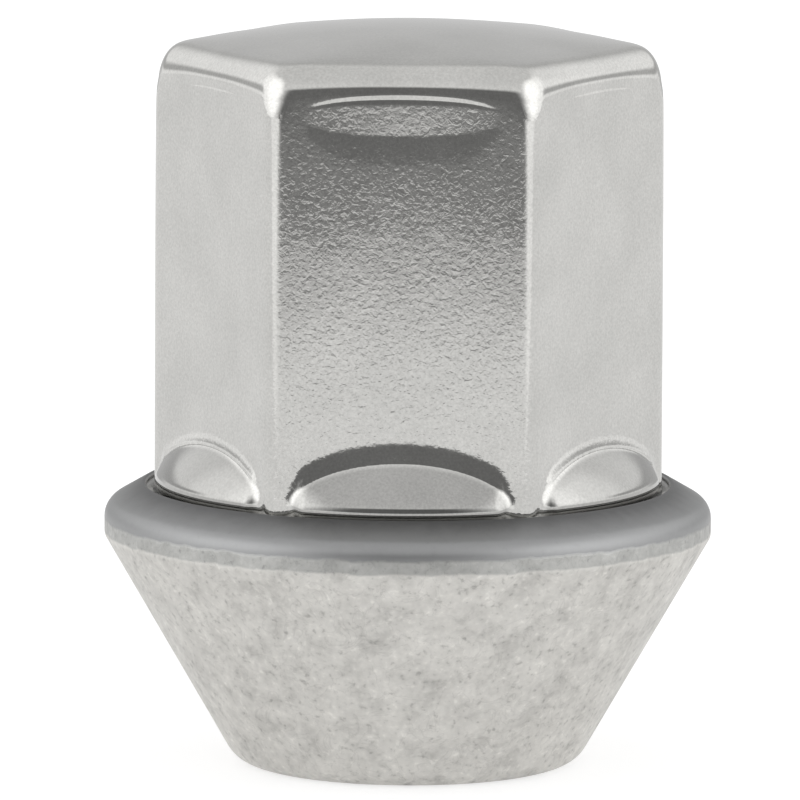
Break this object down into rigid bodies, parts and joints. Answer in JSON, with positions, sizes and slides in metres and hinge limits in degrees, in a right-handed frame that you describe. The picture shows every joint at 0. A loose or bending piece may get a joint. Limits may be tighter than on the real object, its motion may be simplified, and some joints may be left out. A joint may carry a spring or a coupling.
{
  "type": "lug nut",
  "caption": "Capped wheel lug nut: a bright drawn hexagon cap with a rolled hem over a coated steel nut with a flange and a conical seat, threaded from below.",
  "frame": {"origin": "on the axis, in the plane of the seat's small end, where the nut stands", "axes": "+Z runs along the thread from the seat end to the cap; one flat of the hexagon faces -Y"},
  "size_m": [0.026, 0.026, 0.0318],
  "materials": {
    "coated_steel": "pale zinc flake coating, mottled and matte on the seat, smoother on the flange",
    "bright_steel": "satin bright stainless sheet, faintly wrinkled by drawing"
  },
  "bodies": {
    "root": {"nut_body": "coated_steel", "cap": "bright_steel"}
  },
  "joints": []
}
